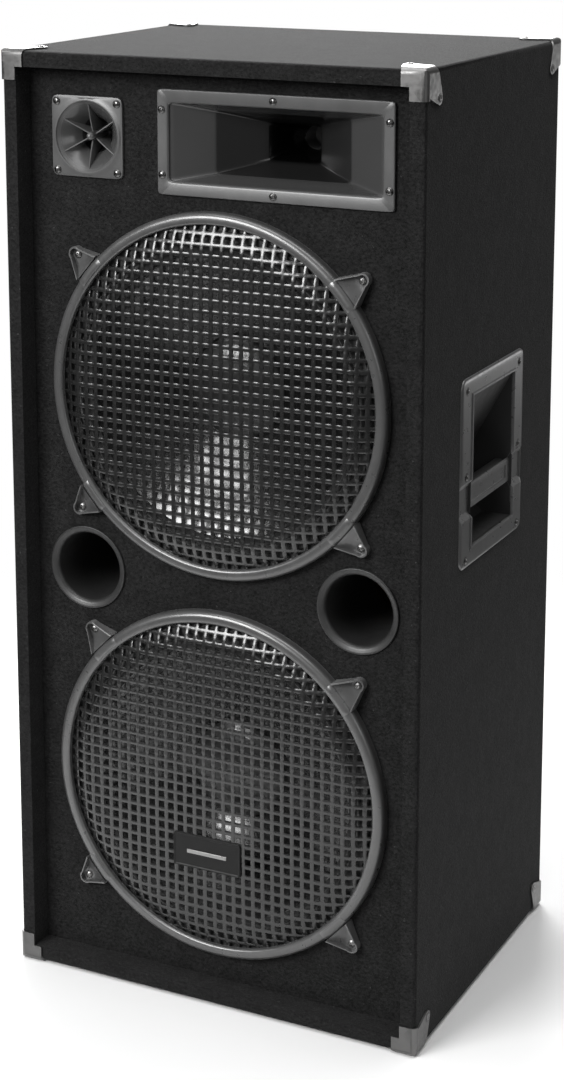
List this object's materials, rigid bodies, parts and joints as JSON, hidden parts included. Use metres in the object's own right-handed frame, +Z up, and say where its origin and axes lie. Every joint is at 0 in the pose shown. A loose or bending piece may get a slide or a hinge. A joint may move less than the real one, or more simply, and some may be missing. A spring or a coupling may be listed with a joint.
{
  "type": "pa speaker cabinet",
  "caption": "Tall carpet-covered passive PA speaker cabinet with twin woofers behind waffle grilles, horn, tweeter, reflex ports, side handles and corner protectors.",
  "frame": {"origin": "on the floor at the centre of the footprint, in the plane of the bottom corner protectors' undersides", "axes": "+Z up, -Y out of the front with the grilles, +X to the right seen from the front"},
  "size_m": [0.488, 0.39, 1.036],
  "materials": {
    "plywood": "raw",
    "softwood": "raw",
    "carpet": "felted",
    "plated_steel": "satin",
    "horn_plastic": "satin",
    "black_plastic": "satin",
    "driver_casing": "matte",
    "ferrite": "matte",
    "diaphragm_metal": "satin",
    "black_screws": "satin",
    "basket_steel": "satin",
    "surround_cloth": "coated",
    "cone_paper": "pressed",
    "copper": "enamelled",
    "spider_cloth": "matte",
    "motor_steel": "plated",
    "foam_gasket": "matte",
    "grille_steel": "satin hammered",
    "board": "matte",
    "film": "gloss",
    "cable": "matte",
    "wadding": "fleece"
  },
  "bodies": {
    "cabinet": {"left_side_panel": "plywood", "right_side_panel": "plywood", "top_panel": "plywood", "bottom_panel": "plywood", "front_baffle": "plywood", "rear_panel": "plywood", "corner_battens": "softwood", "cross_brace": "softwood", "carpet_wrap": "carpet", "carpet_front": "carpet", "carpet_rear": "carpet", "front_corner_protectors": "plated_steel", "rear_corner_protectors": "plated_steel", "corner_screws": "plated_steel", "tweeter_horn": "horn_plastic", "tweeter_phase_plug": "black_plastic", "tweeter_driver": "driver_casing", "horn_flare": "horn_plastic", "horn_driver": "driver_casing", "horn_driver_magnet": "ferrite", "flange_screws": "black_screws", "upper_basket": "basket_steel", "upper_surround": "surround_cloth", "upper_spider": "spider_cloth", "upper_magnet": "ferrite", "upper_motor_steel": "motor_steel", "lower_basket": "basket_steel", "lower_surround": "surround_cloth", "lower_spider": "spider_cloth", "lower_magnet": "ferrite", "lower_motor_steel": "motor_steel", "woofer_gaskets": "foam_gasket", "woofer_screws": "black_screws", "upper_grille_ring": "grille_steel", "upper_grille_mesh": "grille_steel", "lower_grille_ring": "grille_steel", "lower_grille_mesh": "grille_steel", "grille_clamps": "grille_steel", "clamp_screws": "plated_steel", "badge": "black_plastic", "left_port_tube": "black_plastic", "right_port_tube": "black_plastic", "left_handle": "grille_steel", "right_handle": "grille_steel", "handle_grips": "black_plastic", "terminal_plate": "black_plastic", "twist_lock_sockets": "black_plastic", "jack_sockets": "motor_steel", "crossover_board": "board", "crossover_coils": "copper", "crossover_capacitors": "film", "wiring_harness": "cable", "damping_wadding": "wadding"},
    "upper_cone_body": {"upper_cone": "cone_paper", "upper_dust_cap": "cone_paper", "upper_voice_coil": "copper"},
    "lower_cone_body": {"lower_cone": "cone_paper", "lower_dust_cap": "cone_paper", "lower_voice_coil": "copper"},
    "horn_diaphragm_body": {"horn_diaphragm": "diaphragm_metal"}
  },
  "joints": [
    {"name": "upper_cone_travel", "type": "slide", "parent": "cabinet", "child": "upper_cone_body", "axis": [0, -1, 0], "range_m": [-0.006, 0.006], "stiffness_N_per_m": 6300, "deforming": ["upper_surround", "upper_spider"]},
    {"name": "lower_cone_travel", "type": "slide", "parent": "cabinet", "child": "lower_cone_body", "axis": [0, -1, 0], "range_m": [-0.006, 0.006], "stiffness_N_per_m": 6300, "deforming": ["lower_surround", "lower_spider"]},
    {"name": "horn_diaphragm_travel", "type": "slide", "parent": "cabinet", "child": "horn_diaphragm_body", "axis": [0, -1, 0], "range_m": [-0.0004, 0.0004], "stiffness_N_per_m": 8000}
  ]
}
